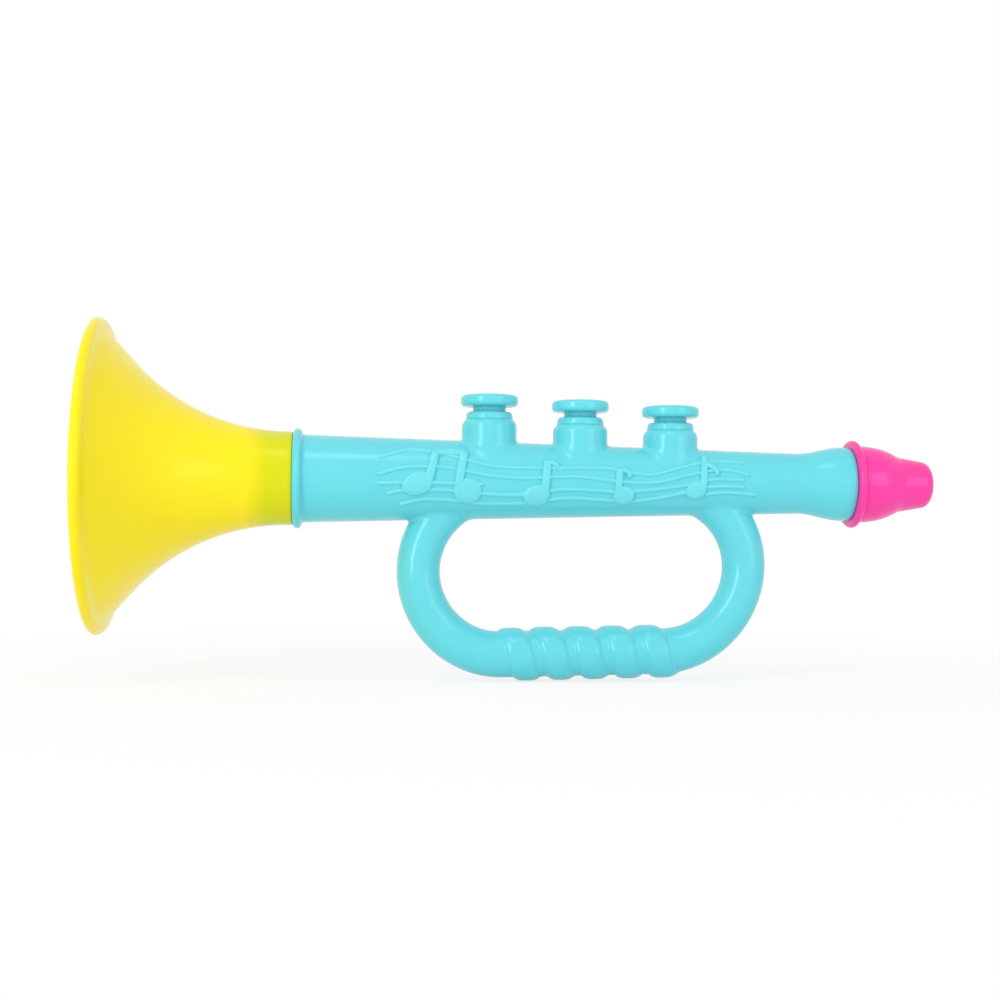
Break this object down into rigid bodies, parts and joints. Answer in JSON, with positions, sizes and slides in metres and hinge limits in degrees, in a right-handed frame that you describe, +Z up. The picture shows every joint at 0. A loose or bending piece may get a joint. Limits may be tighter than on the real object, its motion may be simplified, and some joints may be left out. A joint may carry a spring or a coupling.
{
  "type": "toy trumpet",
  "caption": "Plastic toy trumpet with a push-on flared bell, two-shell tapered body, loop handle with a twisted grip, sprung press valves and a plug-in mouthpiece that holds a reed",
  "frame": {"origin": "Centre of the bounding box at its lowest level, under the grip.", "axes": "+X runs along the tube from the bell to the mouthpiece, +Z points up through the valves, and -Y faces the camera of the picture."},
  "size_m": [0.2694, 0.0994, 0.1138],
  "materials": {
    "bell_yellow": "smooth moulded gloss, slightly translucent",
    "body_cyan": "smooth moulded gloss",
    "mouth_pink": "smooth moulded gloss",
    "reed_white": "natural moulded plastic",
    "spring_steel": "drawn wire",
    "reed_brass": "rolled strip"
  },
  "bodies": {
    "body": {"bell": "bell_yellow", "body_left_shell": "body_cyan", "body_right_shell": "body_cyan", "mouthpiece": "mouth_pink", "reed_bush": "reed_white", "reed_shallot": "reed_white", "reed_tongue": "reed_brass", "reed_wedge": "reed_white", "valve_collar_1": "body_cyan", "valve_spring_1": "spring_steel", "valve_collar_2": "body_cyan", "valve_spring_2": "spring_steel", "valve_collar_3": "body_cyan", "valve_spring_3": "spring_steel"},
    "valve_1": {"valve_button_1": "body_cyan", "valve_piston_1": "reed_white"},
    "valve_2": {"valve_button_2": "body_cyan", "valve_piston_2": "reed_white"},
    "valve_3": {"valve_button_3": "body_cyan", "valve_piston_3": "reed_white"}
  },
  "joints": [
    {"name": "valve_1_press", "type": "slide", "parent": "body", "child": "valve_1", "axis": [0, 0, -1], "range_m": [0, 0.0015], "stiffness_N_per_m": 600, "springref_m": -0.003, "deforming": ["valve_spring_1"]},
    {"name": "valve_2_press", "type": "slide", "parent": "body", "child": "valve_2", "axis": [0, 0, -1], "range_m": [0, 0.0015], "stiffness_N_per_m": 600, "springref_m": -0.003, "deforming": ["valve_spring_2"]},
    {"name": "valve_3_press", "type": "slide", "parent": "body", "child": "valve_3", "axis": [0, 0, -1], "range_m": [0, 0.0015], "stiffness_N_per_m": 600, "springref_m": -0.003, "deforming": ["valve_spring_3"]}
  ]
}
